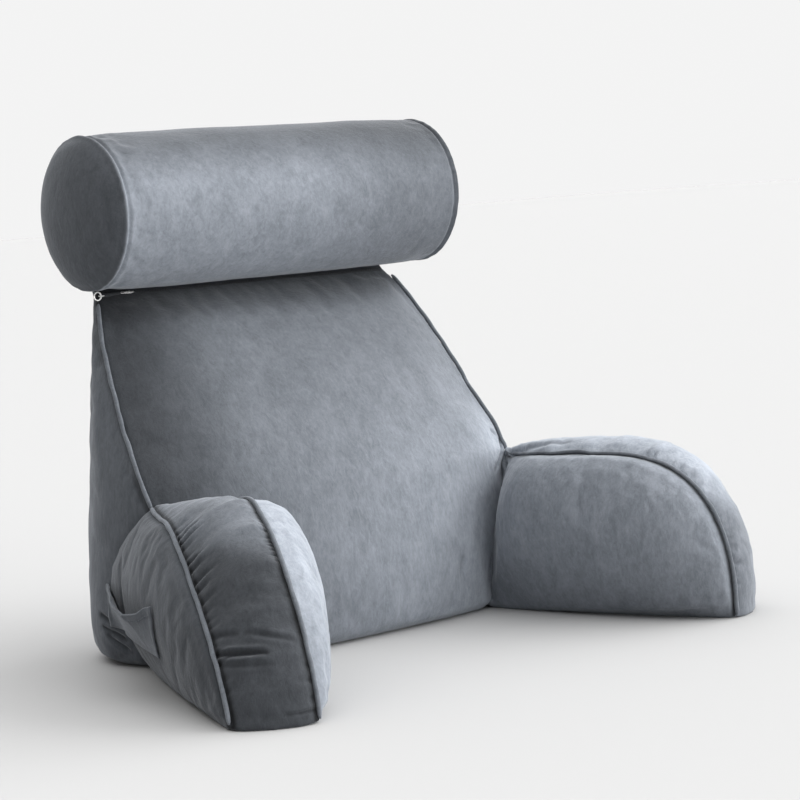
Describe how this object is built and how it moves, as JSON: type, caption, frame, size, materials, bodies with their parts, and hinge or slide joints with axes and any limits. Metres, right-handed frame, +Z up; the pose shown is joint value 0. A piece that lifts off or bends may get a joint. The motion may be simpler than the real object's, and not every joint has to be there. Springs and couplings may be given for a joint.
{
  "type": "reading pillow with arms and neck roll",
  "caption": "Stuffed plush backrest pillow that stands on a bed or floor, with two forward arms, a round neck roll over its top edge, piped seams and a side pocket.",
  "frame": {"origin": "centre of the bounding box in plan, on the floor", "axes": "+X to the right as seen from the front, +Y towards the back, +Z up; the seat between the arms faces -Y"},
  "size_m": [0.6873, 0.5287, 0.5435],
  "materials": {
    "plush": "short-pile blue-grey plush with a mottled, upright nap",
    "piping": "the same plush cut on the bias over a thin cord",
    "zip_tape": "dark woven tape",
    "zip_metal": "nickel-plated, worn smooth"
  },
  "bodies": {
    "root": {"backrest": "plush", "arm_left": "plush", "arm_right": "plush", "neck_roll": "plush", "pocket": "plush", "inner_piping_left": "piping", "inner_piping_right": "piping", "outer_piping_left": "piping", "outer_piping_right": "piping", "side_piping_left": "piping", "side_piping_right": "piping", "zip_chain": "zip_tape", "zip_pull": "zip_tape", "zip_slider": "zip_metal", "zip_bail": "zip_metal", "zip_ring": "zip_metal"}
  },
  "joints": []
}
